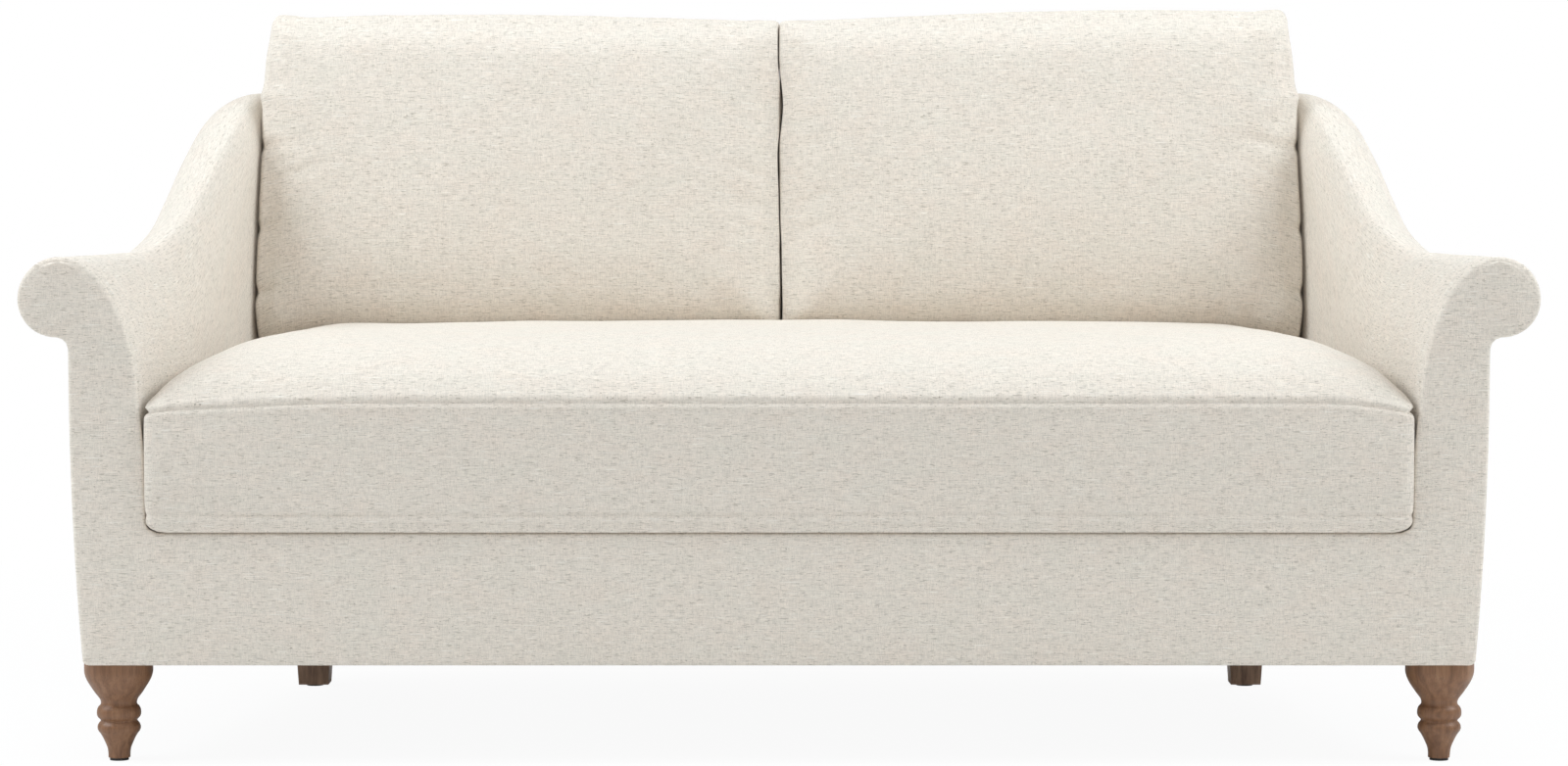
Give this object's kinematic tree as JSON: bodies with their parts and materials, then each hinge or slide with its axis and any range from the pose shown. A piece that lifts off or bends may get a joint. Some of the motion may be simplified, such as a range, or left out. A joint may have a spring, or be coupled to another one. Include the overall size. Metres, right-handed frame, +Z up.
{
  "type": "loveseat",
  "caption": "Upholstered loveseat with rolled arms that sweep up to the back, a bench seat cushion, loose back cushions, turned front feet and square rear feet.",
  "frame": {"origin": "on the floor, under the centre of the whole loveseat's box", "axes": "+Z up, +X to the right as seen from the front, the front faces -Y"},
  "size_m": [1.921, 0.927, 0.9672],
  "materials": {
    "linen": "slubby linen and cotton tweed, ivory with oatmeal flecks",
    "deck_cloth": "plain woven deck cloth",
    "padding": "foam with a fibre wrap",
    "dust_cloth": "black non-woven cloth",
    "webbing": "jute webbing",
    "frame_timber": "kiln-dried hardwood, unfinished",
    "fibreboard": "fibreboard",
    "foot_wood": "turned hardwood, brown stain, satin",
    "dark_foot_wood": "hardwood, dark stain, satin",
    "plated_steel": "zinc plated",
    "spring_steel": "oiled spring wire",
    "zip_tape": "woven tape with nylon coil",
    "zip_metal": "nickel plated",
    "glide_plastic": "nylon"
  },
  "bodies": {
    "root": {"arm_facing_cover_left": "linen", "arm_facing_cover_right": "linen", "arm_facing_pad_left": "padding", "arm_facing_pad_right": "padding", "arm_foam_left": "padding", "arm_foam_right": "padding", "arm_front_post_left": "frame_timber", "arm_front_post_right": "frame_timber", "arm_tack_rail_left": "frame_timber", "arm_tack_rail_right": "frame_timber", "arm_top_rail_left": "frame_timber", "arm_top_rail_right": "frame_timber", "back_centre_post": "frame_timber", "back_foam": "padding", "back_lower_rail": "frame_timber", "back_post_left": "frame_timber", "back_post_right": "frame_timber", "back_top_rail": "frame_timber", "back_webbing": "webbing", "centre_stretcher": "frame_timber", "corner_blocks": "frame_timber", "deck_cover": "deck_cloth", "deck_pad": "padding", "dust_cover": "dust_cloth", "foot_bolts": "plated_steel", "foot_glides": "glide_plastic", "front_border_cover": "linen", "front_border_pad": "padding", "front_foot_left": "foot_wood", "front_foot_right": "foot_wood", "front_rail": "frame_timber", "inside_arm_cover_left": "linen", "inside_arm_cover_right": "linen", "inside_back_cover": "linen", "outside_arm_board_left": "fibreboard", "outside_arm_board_right": "fibreboard", "outside_arm_cover_left": "linen", "outside_arm_cover_right": "linen", "outside_back_cover": "linen", "rear_foot_left": "dark_foot_wood", "rear_foot_right": "dark_foot_wood", "rear_rail": "frame_timber", "seat_springs": "spring_steel", "side_rail_left": "frame_timber", "side_rail_right": "frame_timber", "spring_clips": "plated_steel", "spring_tie_wires": "spring_steel"},
    "seat_cushion": {"seat_cushion_cover": "linen", "seat_cushion_core": "padding", "seat_cushion_zip": "zip_tape"},
    "seat_zip_pull": {"seat_zip_slider": "zip_metal"},
    "left_back_cushion": {"back_cushion_cover_left": "linen", "back_cushion_fill_left": "padding", "back_cushion_zip_left": "zip_tape"},
    "left_zip_pull": {"back_zip_slider_left": "zip_metal"},
    "right_back_cushion": {"back_cushion_cover_right": "linen", "back_cushion_fill_right": "padding", "back_cushion_zip_right": "zip_tape"},
    "right_zip_pull": {"back_zip_slider_right": "zip_metal"}
  },
  "joints": [
    {"name": "seat_cushion_slide", "type": "slide", "parent": "root", "child": "seat_cushion", "axis": [0, -1, 0], "range_m": [0, 0.6]},
    {"name": "left_cushion_lift", "type": "slide", "parent": "root", "child": "left_back_cushion", "axis": [0, 0.0639, 0.998], "range_m": [0, 0.45]},
    {"name": "right_cushion_lift", "type": "slide", "parent": "root", "child": "right_back_cushion", "axis": [0, 0.0639, 0.998], "range_m": [0, 0.45]},
    {"name": "seat_zip_slide", "type": "slide", "parent": "seat_cushion", "child": "seat_zip_pull", "axis": [1, 0, 0], "range_m": [0, 1.2]},
    {"name": "left_zip_slide", "type": "slide", "parent": "left_back_cushion", "child": "left_zip_pull", "axis": [-1, 0, 0], "range_m": [0, 0.49]},
    {"name": "right_zip_slide", "type": "slide", "parent": "right_back_cushion", "child": "right_zip_pull", "axis": [1, 0, 0], "range_m": [0, 0.49]}
  ]
}
